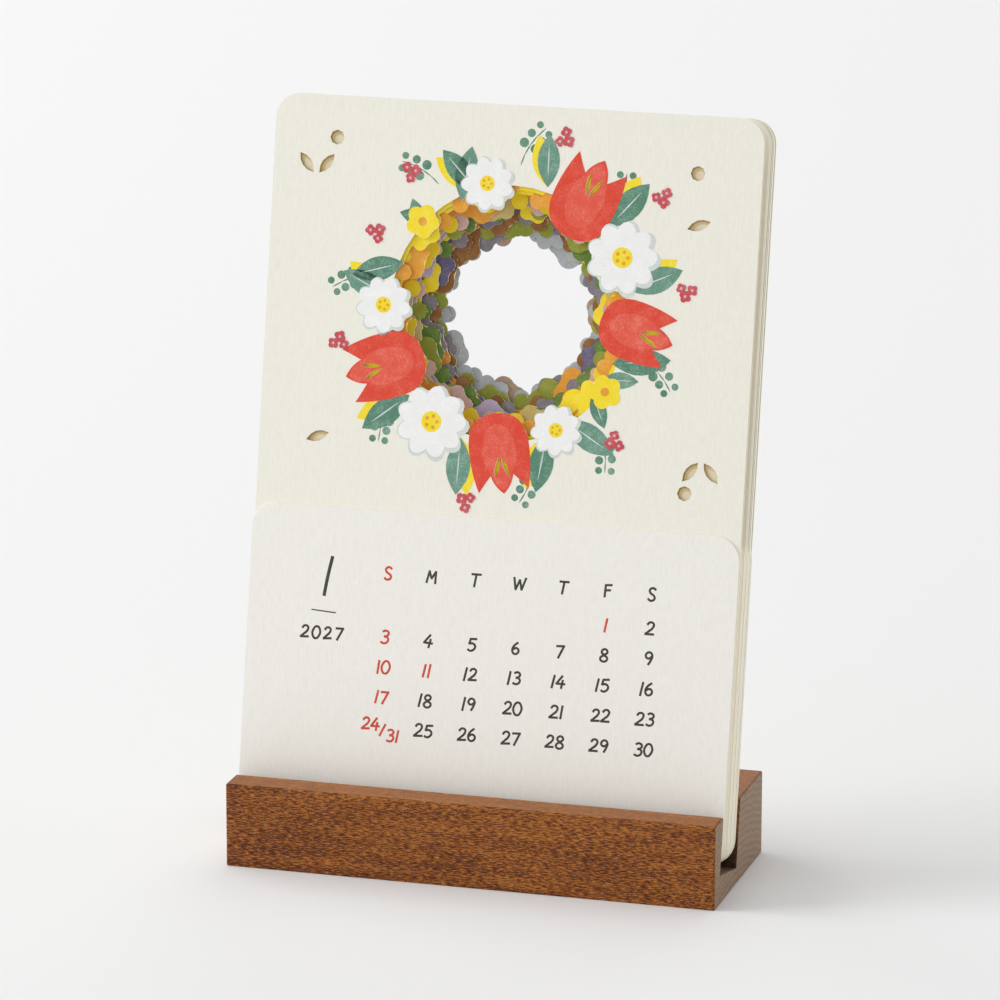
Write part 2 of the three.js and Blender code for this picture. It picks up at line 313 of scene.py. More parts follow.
# Colours, in sRGB as they look
WOOD_DARK = "4c2206"
WOOD_MID = "80410d"
WOOD_LIGHT = "b6722f"
# Painted sheen on the stand's top
WOOD_TOP_SHEEN = "bf8250"
WOOD_PORE = "3c1d0c"
# Painted shade down in the sawn slot
WOOD_SLOT_SHADE = "24130a"
END_DARK = "866a54"
END_LIGHT = "a68b70"
CREAM = "f5f2e6"
# A warm tone for the cream card's cut edges, painted lighter than its face as a painted highlight
CREAM_EDGE_AND_HIGHLIGHT = "fff8e0"
WHITE_CARD = "f6f4ed"
# A warm tone for the white card's cut edges, painted lighter than its face as a painted highlight
WHITE_EDGE_AND_HIGHLIGHT = "fffaea"
# Painted light: the glow of the cut edges, and the tan glow on card faces beside the gap between the two
# groups
PAINTED_EDGE_GLOW = "fff2cf"
PAINTED_GAP_GLOW = "d6b576"
FLOOR_GREY = "f0f0f0"
BLACK = (0, 0, 0, 1)
WHITE = (1, 1, 1, 1)
INKS = {
    "red": ("e04c3a", "ea6b58"),
    "red_light": ("e65c4a", "ee8070"),
    "white": ("f3f3f2", "fbfbfb"),
    "shade": ("d3dbd6", "e2e7e3"),
    "teal": ("6a9581", "93b3a4"),
    "green": ("5a8872", "84a795"),
    "yellow": ("f8de30", "fbe85c"),
    "amber": ("e9a23c", "f1b964"),
    "crimson": ("c8505a", "d67a80"),
    "sand": ("cdb873", "ddcb92"),
    # Painted shade seen through the front card's small holes, from darkest to lightest
    "tan_dark": ("c9ab70", "d4ba84"),
    "tan": ("ddc799", "e6d4ac"),
    "tan_light": ("ebdfc2", "f1e7cf"),
    "olive": ("939b3e", "abb262"),
    "moss": ("67853f", "86a05f"),
    "slate": ("87838c", "a09ca4"),
    "plum": ("6c6685", "87829d"),
    "lilac": ("bdadca", "cfc3d9"),
    "brown": ("94653a", "ac8258"),
    "silver": ("b3b9be", "c8cdd1"),
    "rose": ("d7b2ac", "e3c6c1"),
    "taupe": ("b19783", "c4af9f"),
    "charcoal": ("48423e", "5a534e"),
    "scarlet": ("d44f3d", "dc6452"),
}
# Ink of each card's rim and of its second tone, from the second card to the last
RIM_INKS = (
    "yellow", "yellow", "amber", "sand", "lilac", "yellow", "plum", "amber", "brown", "slate", "taupe",
)
SECOND_INKS = (
    "amber", "amber", "yellow", "rose", "olive", "moss", "slate", "brown", "olive", "silver", "silver",
)
# How strongly the painted glow on the cut edges and beside the gap shines, how deep the paper's mottling
# and lumps are, how much the pores show in colour and relief, and how far the painted sheen on top and
# the painted shade in the sawn slot reach
PAINTED_GLOW_STRENGTH = 0.13
PAPER_SHADE = 0.95
LUMP_SHARE = 0.6
PORE_SHARE = 0.5
PORE_DEPTH = 0.6
TOP_SHEEN_SHARE = 0.35
SLOT_SHADE_SHARE = 0.85
# The two sides of a card, as signs along the axis that points out of its front
FRONT_SIDE = 1
BACK_SIDE = -1
# A surface counts as facing a way from these shares of its normal on: a card's face, a sawn end, the top
CARD_FACING = 0.5
END_FACING = 0.8
TOP_FACING = 0.99


def linear(code):
    channels = [int(code[i:i + 2], 16) / 255 for i in (0, 2, 4)]
    bent = [c / 12.92 if c <= 0.04045 else ((c + 0.055) / 1.055) ** 2.4 for c in channels]
    return (*bent, 1)


# Node helpers
def new_material(name):
    material = bpy.data.materials.new(name)
    material.use_nodes = True
    tree = material.node_tree
    return material, tree, tree.nodes["Principled BSDF"]


def add(tree, kind, **values):
    node = tree.nodes.new(kind)
    for key, value in values.items():
        setattr(node, key, value)
    return node


def coordinates(tree, scale=(1, 1, 1), rotation=(0, 0, 0), location=(0, 0, 0), output="Object"):
    source = add(tree, "ShaderNodeTexCoord")
    mapping = add(tree, "ShaderNodeMapping")
    mapping.inputs["Scale"].default_value = scale
    mapping.inputs["Rotation"].default_value = rotation
    mapping.inputs["Location"].default_value = location
    tree.links.new(source.outputs[output], mapping.inputs["Vector"])
    return mapping.outputs["Vector"]


def noise(tree, vector, scale, detail=4, roughness=0.6, distortion=0):
    node = add(tree, "ShaderNodeTexNoise")
    node.inputs["Scale"].default_value = scale
    node.inputs["Detail"].default_value = detail
    node.inputs["Roughness"].default_value = roughness
    node.inputs["Distortion"].default_value = distortion
    tree.links.new(vector, node.inputs["Vector"])
    return node.outputs["Fac"]


def ramp(tree, value, stops):
    node = add(tree, "ShaderNodeValToRGB")
    elements = node.color_ramp.elements
    while len(elements) < len(stops):
        elements.new(0.5)
    for element, (position, colour) in zip(elements, stops):
        element.position = position
        element.color = colour
    tree.links.new(value, node.inputs["Fac"])
    return node.outputs["Color"]


def mix(tree, factor, first, second):
    node = add(tree, "ShaderNodeMix", data_type="RGBA")
    for socket, value in ((node.inputs[0], factor), (node.inputs[6], first), (node.inputs[7], second)):
        if isinstance(value, (tuple, float, int)):
            socket.default_value = value
        else:
            tree.links.new(value, socket)
    return node.outputs[2]


def maths(tree, operation, first, second=None):
    node = add(tree, "ShaderNodeMath", operation=operation)
    for socket, value in zip(node.inputs, (first, second)):
        if value is None:
            continue
        if isinstance(value, (float, int)):
            socket.default_value = value
        else:
            tree.links.new(value, socket)
    return node.outputs[0]


def bump(tree, shader, height, strength, distance, before=None):
    node = add(tree, "ShaderNodeBump")
    node.inputs["Strength"].default_value = strength
    node.inputs["Distance"].default_value = distance
    tree.links.new(height, node.inputs["Height"])
    if before:
        tree.links.new(before, node.inputs["Normal"])
    tree.links.new(node.outputs["Normal"], shader.inputs["Normal"])
    return node.outputs["Normal"]


def distance_along(tree, axis, output="Object"):
    along = add(tree, "ShaderNodeVectorMath", operation="DOT_PRODUCT")
    tree.links.new(coordinates(tree, output=output), along.inputs[0])
    along.inputs[1].default_value = axis
    return along.outputs["Value"]


def weighted(tree, *parts):
    """The sum of several values, each times its weight."""
    total = None
    for value, weight in parts:
        share = maths(tree, "MULTIPLY", value, weight)
        total = share if total is None else maths(tree, "ADD", total, share)
    return total


def finish(tree, shader, colour, roughness, specular):
    tree.links.new(colour, shader.inputs["Base Color"])
    shader.inputs["Roughness"].default_value = roughness
    shader.inputs["Specular IOR Level"].default_value = specular


# Materials
def paper_relief(tree, shader, strength):
    fibre = coordinates(tree, (1, 0.5, 0.16), rotation=(SLOT_LEAN, 0, 0))
    felt = noise(tree, fibre, scale=2600, detail=3, roughness=0.65)
    lumps = noise(tree, coordinates(tree), scale=900, detail=2)
    first = bump(tree, shader, felt, strength, distance=0.00006)
    bump(tree, shader, lumps, strength * LUMP_SHARE, distance=0.00008, before=first)
    return felt


def paper_colour(tree, shader, felt, colour, edge_tone_and_highlight, facing, painted_glow_side=0):
    """Mottled paper, whose cut edges have a warm tone painted lighter than the face as a painted highlight,
    and a painted glow.

    A card beside the gap between the two groups also gets a painted tan glow on its side towards the gap.
    """
    tone = linear(colour)
    deeper = tuple(c * PAPER_SHADE for c in tone[:3]) + (1,)
    plain = ramp(tree, felt, [(0.3, deeper), (0.62, tone)])
    towards = distance_along(tree, facing, output="Normal")
    on_face = maths(tree, "GREATER_THAN", maths(tree, "ABSOLUTE", towards), CARD_FACING)
    on_front = maths(tree, "GREATER_THAN", towards, CARD_FACING)
    # Painted light: the cut edges glow, the faces do not
    glow = mix(tree, on_face, linear(PAINTED_EDGE_GLOW), BLACK)
    if painted_glow_side:
        lit = maths(tree, "GREATER_THAN", maths(tree, "MULTIPLY", towards, painted_glow_side), CARD_FACING)
        glow = mix(tree, lit, glow, linear(PAINTED_GAP_GLOW))
    tree.links.new(glow, shader.inputs["Emission Color"])
    shader.inputs["Emission Strength"].default_value = PAINTED_GLOW_STRENGTH
    return mix(tree, on_face, linear(edge_tone_and_highlight), plain), on_front


def paper(name, colour, edge_tone_and_highlight, facing, painted_glow_side=0):
    material, tree, shader = new_material(name)
    felt = paper_relief(tree, shader, 0.5)
    colour, _ = paper_colour(tree, shader, felt, colour, edge_tone_and_highlight, facing, painted_glow_side)
    finish(tree, shader, colour, roughness=0.92, specular=0.2)
    return material


def rim_paper(name, tones, centre, facing, painted_glow_side):
    """Cream paper with a printed field of ink round the window on its front face."""
    material, tree, shader = new_material(name)
    felt = paper_relief(tree, shader, 0.5)
    plain, on_front = paper_colour(tree, shader, felt, CREAM, CREAM_EDGE_AND_HIGHLIGHT, facing, painted_glow_side)
    grain = noise(tree, coordinates(tree), scale=3200)
    ink = ramp(tree, grain, [(0.42, linear(tones[0])), (0.75, linear(tones[1]))])
    from_centre = add(tree, "ShaderNodeVectorMath", operation="DISTANCE")
    tree.links.new(coordinates(tree), from_centre.inputs[0])
    from_centre.inputs[1].default_value = centre
    inside = maths(tree, "LESS_THAN", from_centre.outputs["Value"], RIM_FIELD * MM)
    colour = mix(tree, maths(tree, "MULTIPLY", inside, on_front), plain, ink)
    finish(tree, shader, colour, roughness=0.92, specular=0.2)
    return material


def ink_material(name, tones):
    """Matte ink that soaked unevenly into the paper, with fine specks of a lighter tone."""
    material, tree, shader = new_material("ink_" + name)
    grain = noise(tree, coordinates(tree), scale=3200, detail=5, roughness=0.75)
    cloud = noise(tree, coordinates(tree), scale=420, detail=2)
    value = maths(tree, "MULTIPLY", grain, maths(tree, "ADD", cloud, 0.55))
    colour = ramp(tree, value, [(0.5, linear(tones[0])), (0.68, linear(tones[1]))])
    paper_relief(tree, shader, 0.4)
    finish(tree, shader, colour, roughness=0.85, specular=0.25)
    return material


def side_grain(tree):
    """Fine grain along X with a slanting figure and dark pores: its colour and its relief."""
    along = coordinates(tree, (0.13, 1, 1), rotation=(0, 0.06, 0))
    slanting = coordinates(tree, (0.4, 1, 1), rotation=(0, 0.5, 0))
    ripple = noise(tree, along, scale=5400, detail=2, roughness=0.6)
    figure = noise(tree, slanting, scale=4400, detail=2)
    streak = noise(tree, coordinates(tree, (0.07, 1, 1)), scale=620, detail=4, distortion=0.4)
    band = noise(tree, coordinates(tree, (0.1, 1, 1)), scale=110, detail=2)
    tone = weighted(tree, (ripple, 0.56), (figure, 0.18), (streak, 0.15), (band, 0.11))
    grain = ramp(tree, tone, [
        (0.44, linear(WOOD_DARK)),
        (0.5, linear(WOOD_MID)),
        (0.56, linear(WOOD_LIGHT)),
    ])
    lengthwise = coordinates(tree, (0.3, 1, 1), location=(0.3, 0, 0))
    pores = noise(tree, lengthwise, scale=4200, detail=2, roughness=0.5)
    fleck = ramp(tree, pores, [(0.56, BLACK), (0.66, WHITE)])
    colour = mix(tree, maths(tree, "MULTIPLY", fleck, PORE_SHARE), grain, linear(WOOD_PORE))
    relief = maths(tree, "SUBTRACT", ripple, maths(tree, "MULTIPLY", pores, PORE_DEPTH))
    return colour, relief


def end_grain(tree):
    """Faint rings and fine specks on the sawn ends."""
    rings = add(tree, "ShaderNodeTexWave", wave_type="RINGS", rings_direction="X")
    rings.inputs["Scale"].default_value = 230
    rings.inputs["Distortion"].default_value = 3
    rings.inputs["Detail"].default_value = 3
    rings.inputs["Detail Scale"].default_value = 2
    tree.links.new(coordinates(tree, location=(0, 0.004, 0.055)), rings.inputs["Vector"])
    speck = noise(tree, coordinates(tree), scale=2400, detail=3)
    tone = weighted(tree, (rings.outputs["Fac"], 0.14), (speck, 0.86))
    return ramp(tree, tone, [(0.36, linear(END_DARK)), (0.64, linear(END_LIGHT))])


def depth_in_slot(tree):
    """Share of painted shade: nought outside the sawn slot and at its mouth, rising to one on the lower
    walls and the floor.
    """
    _, up, front = lean_axes(SLOT_LEAN)
    corners = [v.co for v in nodes["stand"].data.vertices if SLOT_FOOT < v.co.z / MM < SLOT_HEAD]
    floor = min(c.dot(up) for c in corners)
    walls = [c.dot(front) for c in corners]
    lateral = distance_along(tree, front)
    height = distance_along(tree, up)
    inside = maths(tree, "GREATER_THAN", lateral, min(walls) - SLOT_SKIN * MM)
    inside = maths(tree, "MULTIPLY", inside, maths(tree, "LESS_THAN", lateral, max(walls) + SLOT_SKIN * MM))
    inside = maths(tree, "MULTIPLY", inside, maths(tree, "GREATER_THAN", height, floor - SLOT_SKIN * MM))
    fade = add(tree, "ShaderNodeMapRange")
    tree.links.new(height, fade.inputs["Value"])
    fade.inputs["From Min"].default_value = floor + SLOT_SHADE_FROM * MM
    fade.inputs["From Max"].default_value = floor + SLOT_SHADE_FULL * MM
    return maths(tree, "MULTIPLY", inside, fade.outputs["Result"])


def wood_material():
    """Red-brown hardwood, duller on its ends, with painted sheen on top and painted shade down in the sawn
    slot.
    """
    material, tree, shader = new_material("oiled_hardwood")
    side, relief = side_grain(tree)
    facing = add(tree, "ShaderNodeSeparateXYZ")
    tree.links.new(coordinates(tree, output="Normal"), facing.inputs[0])
    is_end = maths(tree, "GREATER_THAN", maths(tree, "ABSOLUTE", facing.outputs["X"]), END_FACING)
    is_top = maths(tree, "GREATER_THAN", facing.outputs["Z"], TOP_FACING)
    # Painted sheen: the top faces are lighter
    side = mix(tree, maths(tree, "MULTIPLY", is_top, TOP_SHEEN_SHARE), side, linear(WOOD_TOP_SHEEN))
    # Painted shade: darker down in the sawn slot
    sawn = maths(tree, "MULTIPLY", depth_in_slot(tree), SLOT_SHADE_SHARE)
    colour = mix(tree, sawn, mix(tree, is_end, side, end_grain(tree)), linear(WOOD_SLOT_SHADE))
    bump(tree, shader, relief, strength=0.4, distance=0.0002)
    finish(tree, shader, colour, roughness=0.55, specular=0.3)
    return material


# Flat outlines, in millimetres on the card
def direction(angle):
    return Vector((math.cos(angle), math.sin(angle)))


def bezier(points):
    outline = []
    for i in range(0, len(points) - 1, 2):
        start, pull, end = (Vector(p) for p in points[i:i + 3])
        for step in range(CURVE_STEPS):
            t = step / CURVE_STEPS
            outline.append((1 - t) ** 2 * start + 2 * t * (1 - t) * pull + t * t * end)
    return outline


def leaf(length, belly=LEAF_BELLY):
    pull = 2 * belly * length
    return bezier([(0, 0), (length / 2, -pull), (length, 0), (length / 2, pull), (0, 0)])


def mirrored(half, radius):
    whole = half + [(x, -y) for x, y in reversed(half[:-1])]
    return bezier([(radius * x, radius * y) for x, y in whole])


def petalled(radius, petals, notch=PETAL_NOTCH):
    outline = []
    count = petals * PETAL_POINTS
    for i in range(count):
        angle = 2 * math.pi * i / count
        reach = radius * (1 - notch + notch * abs(math.cos(petals * angle / 2)))
        outline.append(reach * direction(angle))
    return outline


def disc(radius, count=DISC_POINTS):
    return [radius * direction(2 * math.pi * i / count) for i in range(count)]


def placed(outline, turn, place, scale=1):
    cos, sin = math.cos(turn), math.sin(turn)
    return [
        Vector((scale * (p.x * cos - p.y * sin) + place.x, scale * (p.x * sin + p.y * cos) + place.y))
        for p in outline
    ]


def rim_point(month, angle, out):
    shrink = WINDOW_STEP * (month - 1)
    x, y = math.cos(angle), math.sin(angle)
    reach = 1 / math.hypot(x / (WINDOW_HALF_WIDTH - shrink), y / (WINDOW_HALF_HEIGHT - shrink)) + out
    return Vector((x * reach, WINDOW_Y + y * reach))


# Where a card stands: its middle, bottom edge and front face, read from its solid
def lean_of(month):
    return FRONT_LEAN if month <= FRONT_MONTHS else SLOT_LEAN


def lean_axes(lean):
    across = Vector((1, 0, 0))
    up = Vector((0, math.sin(lean), math.cos(lean)))
    front = Vector((0, -math.cos(lean), math.sin(lean)))
    return across, up, front


def card_place(name, lean):
    across, up, front = lean_axes(lean)
    corners = [v.co for v in nodes[name].data.vertices]
    xs = [c.x for c in corners]
    middle = across * (min(xs) + max(xs)) / 2
    foot = up * min(c.dot(up) for c in corners)
    face = front * max(c.dot(front) for c in corners)
    place = Matrix.Identity(4)
    for i, axis in enumerate((across, up, front)):
        place.col[i][:3] = axis
    place.translation = middle + foot + face
    return place


# Pieces
def dress(name, material):
    nodes[name].data.materials.clear()
    nodes[name].data.materials.append(material)


def deselect():
    bpy.ops.object.select_all(action="DESELECT")


def finish_piece(piece, name, place, material):
    piece.name = name
    piece.data.name = name
    piece.data.transform(place @ Matrix.Scale(MM, 4))
    piece.data.materials.clear()
    piece.data.materials.append(material)
    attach(piece, "root")
    return piece


def plates(outlines, thickness, base=0):
    """Closed flat plates in one mesh, in millimetres, one for each outline."""
    deselect()
    bpy.ops.mesh.primitive_circle_add(vertices=len(outlines[0]), radius=1, fill_type="NGON")
    piece = bpy.context.object
    bpy.ops.object.mode_set(mode="EDIT")
    for i, outline in enumerate(outlines):
        if i:
            bpy.ops.mesh.primitive_circle_add(vertices=len(outline), radius=1, fill_type="NGON")
        mesh = bmesh.from_edit_mesh(piece.data)
        corners = [v for v in mesh.verts if v.select]
        for corner, point in zip(corners, outline):
            corner.co = (point.x, point.y, base + i % UNEVEN_STEPS * UNEVENNESS)
        bpy.ops.mesh.select_all(action="DESELECT")
    bpy.ops.mesh.select_all(action="SELECT")
    bpy.ops.mesh.extrude_region_move(TRANSFORM_OT_translate={"value": (0, 0, thickness)})
    bpy.ops.mesh.select_all(action="SELECT")
    bpy.ops.mesh.normals_make_consistent(inside=False)
    bpy.ops.object.mode_set(mode="OBJECT")
    return piece


def printed(name, place, outlines, layer, material):
    """Fields of ink on a picture card's front face."""
    return finish_piece(plates(outlines, INK * layer), name, place, material)


def pen_lines(strokes, radius):
    """Smooth strokes as they are; a straight one becomes single lines that overlap at the corners."""
    lines = []
    for points, kind in strokes:
        if kind != LINE:
            lines.append((points, kind))
            continue
        for start, end in zip(points, points[1:]):
            start, end = Vector(start), Vector(end)
            reach = (end - start).normalized() * radius * PEN_OVERLAP
            lines.append(([start - reach, end + reach], kind))
    return lines


def figures(name, place, strokes, radius, material):
    """Pen strokes of round section on the white card, pressed nearly flat."""
    curve = bpy.data.curves.new(name, "CURVE")
    curve.dimensions = "3D"
    curve.resolution_u = 5
    curve.bevel_depth = radius
    curve.bevel_resolution = 2
    curve.use_fill_caps = True
    for points, kind in pen_lines(strokes, radius):
        spline = curve.splines.new("BEZIER")
        spline.bezier_points.add(len(points) - 1)
        for knot, (x, y) in zip(spline.bezier_points, points):
            knot.co = (x, y, 0)
            handle = "VECTOR" if kind == LINE else "AUTO"
            knot.handle_left_type = handle
            knot.handle_right_type = handle
        spline.use_cyclic_u = kind == LOOP
    piece = bpy.data.objects.new(name, curve)
    bpy.context.scene.collection.objects.link(piece)
    deselect()
    piece.select_set(True)
    bpy.context.view_layer.objects.active = piece
    bpy.ops.object.convert(target="MESH")
    piece = bpy.context.object
    thickness = INK * FIGURE_LAYER
    pressed = Matrix.Scale(thickness / (2 * radius), 4, (0, 0, 1))
    piece.data.transform(Matrix.Translation((0, 0, thickness / 2)) @ pressed)
    bpy.ops.object.mode_set(mode="EDIT")
    bpy.ops.mesh.select_all(action="SELECT")
    bpy.ops.mesh.normals_make_consistent(inside=False)
    bpy.ops.object.mode_set(mode="OBJECT")
    return finish_piece(piece, name, place, material)


# Camera and light
def camera():
    turn, tilt, roll = (math.radians(angle) for angle in (CAMERA_TURN, CAMERA_TILT, CAMERA_ROLL))
    ahead = Vector((math.sin(turn) * math.cos(tilt), math.cos(turn) * math.cos(tilt), math.sin(tilt)))
    level = Vector((math.cos(turn), -math.sin(turn), 0))
    right = level * math.cos(roll) + level.cross(ahead) * math.sin(roll)
    above = right.cross(ahead)
    view = Matrix.Identity(4)
    for i, axis in enumerate((right, above, -ahead)):
        view.col[i][:3] = axis
    view.translation = CAMERA_PLACE
    data = bpy.data.cameras.new("camera")
    data.sensor_width = CAMERA_SENSOR
    data.lens = CAMERA_LENS
    lens = bpy.data.objects.new("camera", data)
    lens.matrix_world = view
    bpy.context.scene.collection.objects.link(lens)
    bpy.context.scene.camera = lens


def lamp(name, place, size, power, target):
    data = bpy.data.lights.new(name, "AREA")
    data.shape = "SQUARE"
    data.size = size
    data.energy = power
    lamp_object = bpy.data.objects.new(name, data)
    lamp_object.location = place
    lamp_object.rotation_euler = (Vector(target) - Vector(place)).to_track_quat("-Z", "Y").to_euler()
    bpy.context.scene.collection.objects.link(lamp_object)


def studio():
    deselect()
    bpy.ops.mesh.primitive_plane_add(size=FLOOR_SIZE, location=FLOOR_MIDDLE)
    floor = bpy.context.object
    floor.name = "floor"
    material, tree, shader = new_material("pale_floor")
    shader.inputs["Base Color"].default_value = linear(FLOOR_GREY)
    shader.inputs["Roughness"].default_value = 0.9
    shader.inputs["Specular IOR Level"].default_value = 0.1
    floor.data.materials.append(material)
    world = bpy.data.worlds.new("studio")
    bpy.context.scene.world = world
    world.use_nodes = True
    background = world.node_tree.nodes["Background"]
    background.inputs["Color"].default_value = WHITE
    background.inputs["Strength"].default_value = WORLD_STRENGTH
    for name, place, size, power, target in LAMPS:
        lamp(name, place, size, power, target)


# Printed fields of the front card; each function adds its outlines by group and ink
def leaf_fields(field, middle, heading, size, ink, shadow_side):
    if shadow_side:
        field("shadow_leaves", "yellow", placed(leaf(size), heading + shadow_side * SHADOW_TURN, middle))
    field("leaves", ink, placed(leaf(size), heading, middle))
    start = middle + size * VEIN_START * direction(heading)
    field("veins", "shade", placed(leaf(size * VEIN_LENGTH, VEIN_BELLY), heading, start))


def tulip_fields(field, middle, heading, size):
    field("tulips", "red", placed(mirrored(TULIP_HALF, size), heading, middle))
    field("tulip_hearts", "red_light", placed(mirrored(MIDDLE_PETAL_HALF, size), heading, middle))


def daisy_fields(field, middle, heading, size):
    petals = petalled(size, DAISY_PETALS)
    lifted = middle + size * DAISY_SHIFT
    field("daisy_shade", "shade", placed(petals, heading, middle))
    field("daisies", "white", placed(petals, heading + DAISY_TURN, lifted, DAISY_SHARE))
    field("daisy_hearts", "yellow", placed(disc(size * DAISY_HEART), 0, lifted))
    for i in range(DAISY_DOTS):
        dot = lifted + size * DAISY_DOT_REACH * direction(2 * math.pi * i / DAISY_DOTS)
        field("daisy_dots", "amber", placed(disc(size * DAISY_DOT_RADIUS, SMALL_DISC_POINTS), 0, dot))


def bloom_fields(field, middle, heading, size):
    field("blooms", "yellow", placed(petalled(size, BLOOM_PETALS), heading, middle))
    field("bloom_hearts", "amber", placed(disc(size * BLOOM_HEART), 0, middle))


def sprig_fields(field, angle, bend):
    point = rim_point(1, math.radians(angle), SPRIG_OUT)
    heading = math.radians(angle + SPRIG_TURN * bend)
    for i in range(SPRIG_STEPS):
        ahead = direction(heading)
        field("stems", "green", placed(leaf(STEM_LENGTH, STEM_BELLY), heading, point))
        point = point + STEM_STEP * ahead
        if i:
            leaflet = disc(LEAFLET_RADIUS - LEAFLET_TAPER * i, LEAFLET_POINTS)
            for side, ink in ((-1, "green"), (1, "teal")):
                seat = point + LEAFLET_OUT * side * Vector((-ahead.y, ahead.x))
                field("leaflets", ink, placed(leaflet, 0, seat))
        heading += math.radians(SPRIG_BEND * bend)


def floret_fields(field, angle, out):
    middle = rim_point(1, math.radians(angle), out)
    for i, reach in enumerate(FLORET_REACHES):
        heading = math.radians(angle + FLORET_TURN * i + FLORET_START)
        seat = middle + reach * direction(heading)
        petals = petalled(FLORET_RADIUS - FLORET_TAPER * i, FLORET_PETALS, FLORET_NOTCH)
        field(f"florets_{i}", "crimson", placed(petals, heading, seat))
        field(f"floret_hearts_{i}", "rose", placed(disc(FLORET_HEART, SMALL_DISC_POINTS), 0, seat))


def front_fields():
    fields = {}
    flowers = {"tulip": tulip_fields, "daisy": daisy_fields, "bloom": bloom_fields}

    def field(group, ink, outline):
        fields.setdefault((group, ink), []).append(outline)

    for i, (kind, angle, out, size, turn) in enumerate(FRONT_MOTIFS):
        middle = rim_point(1, math.radians(angle), out)
        heading = math.radians(angle + turn)
        if kind == "leaf":
            shadow_side = math.copysign(1, turn) if out >= 0 else 0
            leaf_fields(field, middle, heading, size, "teal" if i % 2 else "green", shadow_side)
        else:
            flowers[kind](field, middle, heading, size)
    for angle, bend in SPRIGS:
        sprig_fields(field, angle, bend)
    for angle, out in FLORETS:
        floret_fields(field, angle, out)
    return fields


def cut_slits(piece):
    """Opens the printed tulips where the card is slit beside their middle petals."""
    outlines = []
    for kind, angle, out, size, turn in FRONT_MOTIFS:
        if kind != "tulip":
            continue
        for side in (-1, 1):
            heading = math.radians(angle + turn) + side * SLIT_SPREAD
            start = rim_point(1, math.radians(angle), out) + SLIT_START * direction(heading)
            outlines.append(placed(leaf(SLIT_LENGTH, SLIT_BELLY), heading, start))
    cutter = plates(outlines, CUTTER_THICKNESS, CUTTER_FOOT)
    deselect()
    piece.select_set(True)
    bpy.context.view_layer.objects.active = piece
    cut = piece.modifiers.new("slits", "BOOLEAN")
    cut.operation = "DIFFERENCE"
    cut.solver = "EXACT"
    cut.object = cutter
    bpy.ops.object.modifier_apply(modifier="slits")
    bpy.data.objects.remove(cutter)


def front_card():
    name = "picture_card_01"
    place = card_place(name, lean_of(1))
    facing = place.to_3x3() @ Vector((0, 0, 1))
    dress(name, paper("cream_paper", CREAM, CREAM_EDGE_AND_HIGHLIGHT, facing))
    for (group, ink), outlines in front_fields().items():
        piece = plates(outlines, INK * LAYERS[group])
        if group.startswith("tulip"):
            cut_slits(piece)
        finish_piece(piece, f"front_{group}_{ink}", place, ink_materials[ink])


# The cards behind it
def inner_card(month):
    """Blossoms, buttons and a field of ink round the month's window."""
    name = f"picture_card_{month:02d}"
    place = card_place(name, lean_of(month))
    rim, second = RIM_INKS[month - 2], SECOND_INKS[month - 2]
    centre = place @ (Vector((0, WINDOW_Y, 0)) * MM)
    facing = place.to_3x3() @ Vector((0, 0, 1))
    # The last card of the front group gets a painted glow on its back, towards the gap
    painted_glow_side = BACK_SIDE if month == FRONT_MONTHS else 0
    dress(name, rim_paper(f"rim_{month:02d}", INKS[rim], centre, facing, painted_glow_side))
    count = FEWEST_BLOSSOMS + (month * BLOSSOM_STRIDE) % BLOSSOM_SPREAD
    petals = FEWEST_PETALS + month % PETAL_SPREAD
    fields = {rim: [], second: []}
    hearts = {rim: [], second: []}
    for i in range(count):
        angle = 2 * math.pi * i / count + BLOSSOM_TURN * month
        radius = BLOSSOM_RADIUS + BLOSSOM_SWING * math.sin(angle * 2 + month)
        middle = rim_point(month, angle, BLOSSOM_SEAT)
        own, other = (rim, second) if i % 2 else (second, rim)
        fields[own].append(placed(petalled(radius, petals), angle * 2, middle))
        hearts[other].append(placed(disc(radius * HEART_SHARE), 0, middle))
        seat = rim_point(month, angle + math.pi / count, BUTTON_SEAT)
        fields[second].append(placed(disc(BUTTON_RADIUS), 0, seat))
    for ink, outlines in fields.items():
        printed(f"rim_{month:02d}_blossoms_{ink}", place, outlines, RIM_LAYER, ink_materials[ink])
    for ink, outlines in hearts.items():
        printed(f"rim_{month:02d}_hearts_{ink}", place, outlines, HEART_LAYER, ink_materials[ink])


def hole_outlines():
    outlines = []
    for side, inset, rise, seeds, turn in HOLES:
        middle = Vector((side * (PICTURE_WIDTH / 2 - inset), WINDOW_Y + rise))
        if not seeds:
            outlines.append(placed(disc(DOT_RADIUS), 0, middle))
        for i in range(seeds):
            heading = math.radians(turn + (0 if seeds == 1 else SEED_TURN * (2 * i - 1)))
            start = middle + SEED_START * direction(heading)
            outlines.append(placed(leaf(SEED_LENGTH, SEED_BELLY), heading, start))
    return outlines


def tinted_backing():
    """Painted shade in tans on the second card, seen through the small holes of the first and darker on one
    side.
    """
    place = card_place("picture_card_02", lean_of(2))
    for i, (ink, share, shift) in enumerate(HOLE_SHADE_TONES):
        outlines = []
        for outline in hole_outlines():
            centre = sum(outline, Vector((0, 0))) / len(outline)
            moved = centre + shift * Vector((1, -1))
            outlines.append([moved + share * (point - centre) for point in outline])
        printed(f"shade_behind_hole_{ink}", place, outlines, HOLE_LAYER + i, ink_materials[ink])


def date_cards():
    facing = lean_axes(SLOT_LEAN)[2]
    plain = paper("white_paper", WHITE_CARD, WHITE_EDGE_AND_HIGHLIGHT, facing)
    # The date card just behind the gap gets a painted glow on its front, towards the gap
    beside_gap = paper("gap_glow_white_paper", WHITE_CARD, WHITE_EDGE_AND_HIGHLIGHT, facing, FRONT_SIDE)
    for month in range(1, MONTHS + 1):
        dress(f"date_card_{month:02d}", beside_gap if month == FRONT_MONTHS + 1 else plain)


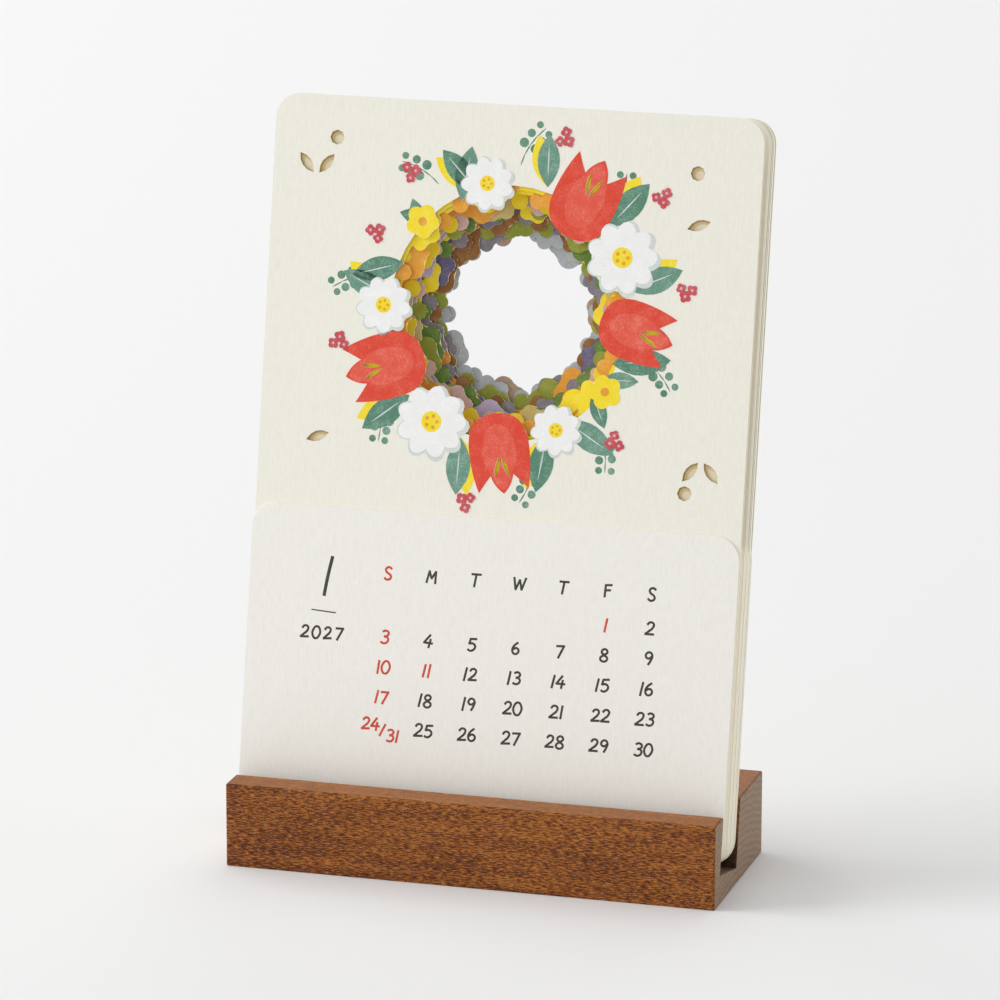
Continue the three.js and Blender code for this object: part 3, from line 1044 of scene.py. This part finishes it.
# The front date card's figures
def written(text, x, y, height, spread=FIGURE_SPREAD):
    """Strokes for a line of figures centred on a place, with the small unevenness of a pen."""
    strokes = []
    widths = [spread * height * WIDE.get(sign, 1) for sign in text]
    left = x - sum(widths) / 2
    for sign, width in zip(text, widths):
        middle = left + width / 2
        left += width
        turn = pen.uniform(-PEN_TURN, PEN_TURN)
        size = height * pen.uniform(1 - PEN_SIZE, 1 + PEN_SIZE)
        foot = y + pen.uniform(-PEN_DROP, PEN_DROP)
        cos, sin = math.cos(turn), math.sin(turn)
        for points, kind in GLYPHS[sign]:
            turned = []
            for px, py in points:
                right = FIGURE_WIDTH * px * cos - (1 - PEN_SLANT) * py * sin + PEN_SLANT * py
                turned.append((middle + size * right, foot + size * (px * sin + py * cos)))
            strokes.append((turned, kind))
    return strokes


def date_figures():
    """Strokes of the weekdays and the dates, dark and red."""
    dark = []
    red = []
    for column, letter in enumerate(WEEK):
        strokes = written(letter, COLUMN_LEFT + COLUMN_PITCH * column, HEADER_Y, HEADER_HEIGHT)
        (red if column == 0 else dark).extend(strokes)
    for day in range(1, DAYS + 1):
        row, column = divmod(FIRST_COLUMN + day - 1, len(WEEK))
        x = COLUMN_LEFT + COLUMN_PITCH * column
        y = ROW_TOP - ROW_PITCH * row
        ink = red if column == 0 or day in REST_DAYS else dark
        if day == UPPER_DAY:
            right, up = UPPER_SHIFT
            ink.extend(written(str(day), x + right, y + up, SHARED_HEIGHT))
            ink.append(([(x + right, y + up) for right, up in SHARED_STROKE], LINE))
        elif day == LOWER_DAY:
            right, up = LOWER_SHIFT
            ink.extend(written(str(day), x + right, y + ROW_PITCH + up, SHARED_HEIGHT))
        else:
            ink.extend(written(str(day), x, y, DATE_HEIGHT))
    return dark, red


def front_date_card():
    place = card_place("date_card_01", lean_of(1))
    dark, red = date_figures()
    dark.extend(written(YEAR, *YEAR_PLACE, DATE_HEIGHT, YEAR_SPREAD))
    charcoal, scarlet = ink_materials["charcoal"], ink_materials["scarlet"]
    figures("date_figures_dark", place, dark, PEN, charcoal)
    figures("date_figures_red", place, red, PEN, scarlet)
    figures("date_month_stroke", place, [(MONTH_STROKE, CURVE)], MONTH_PEN, charcoal)
    figures("date_rule", place, [(RULE, LINE)], RULE_PEN, charcoal)


bpy.context.scene.view_settings.view_transform = "Standard"
pen = random.Random(PEN_SEED)
camera()
studio()
ink_materials = {name: ink_material(name, tones) for name, tones in INKS.items()}
date_cards()
dress("stand", wood_material())
front_card()
for month in range(2, MONTHS + 1):
    inner_card(month)
tinted_backing()
front_date_card()
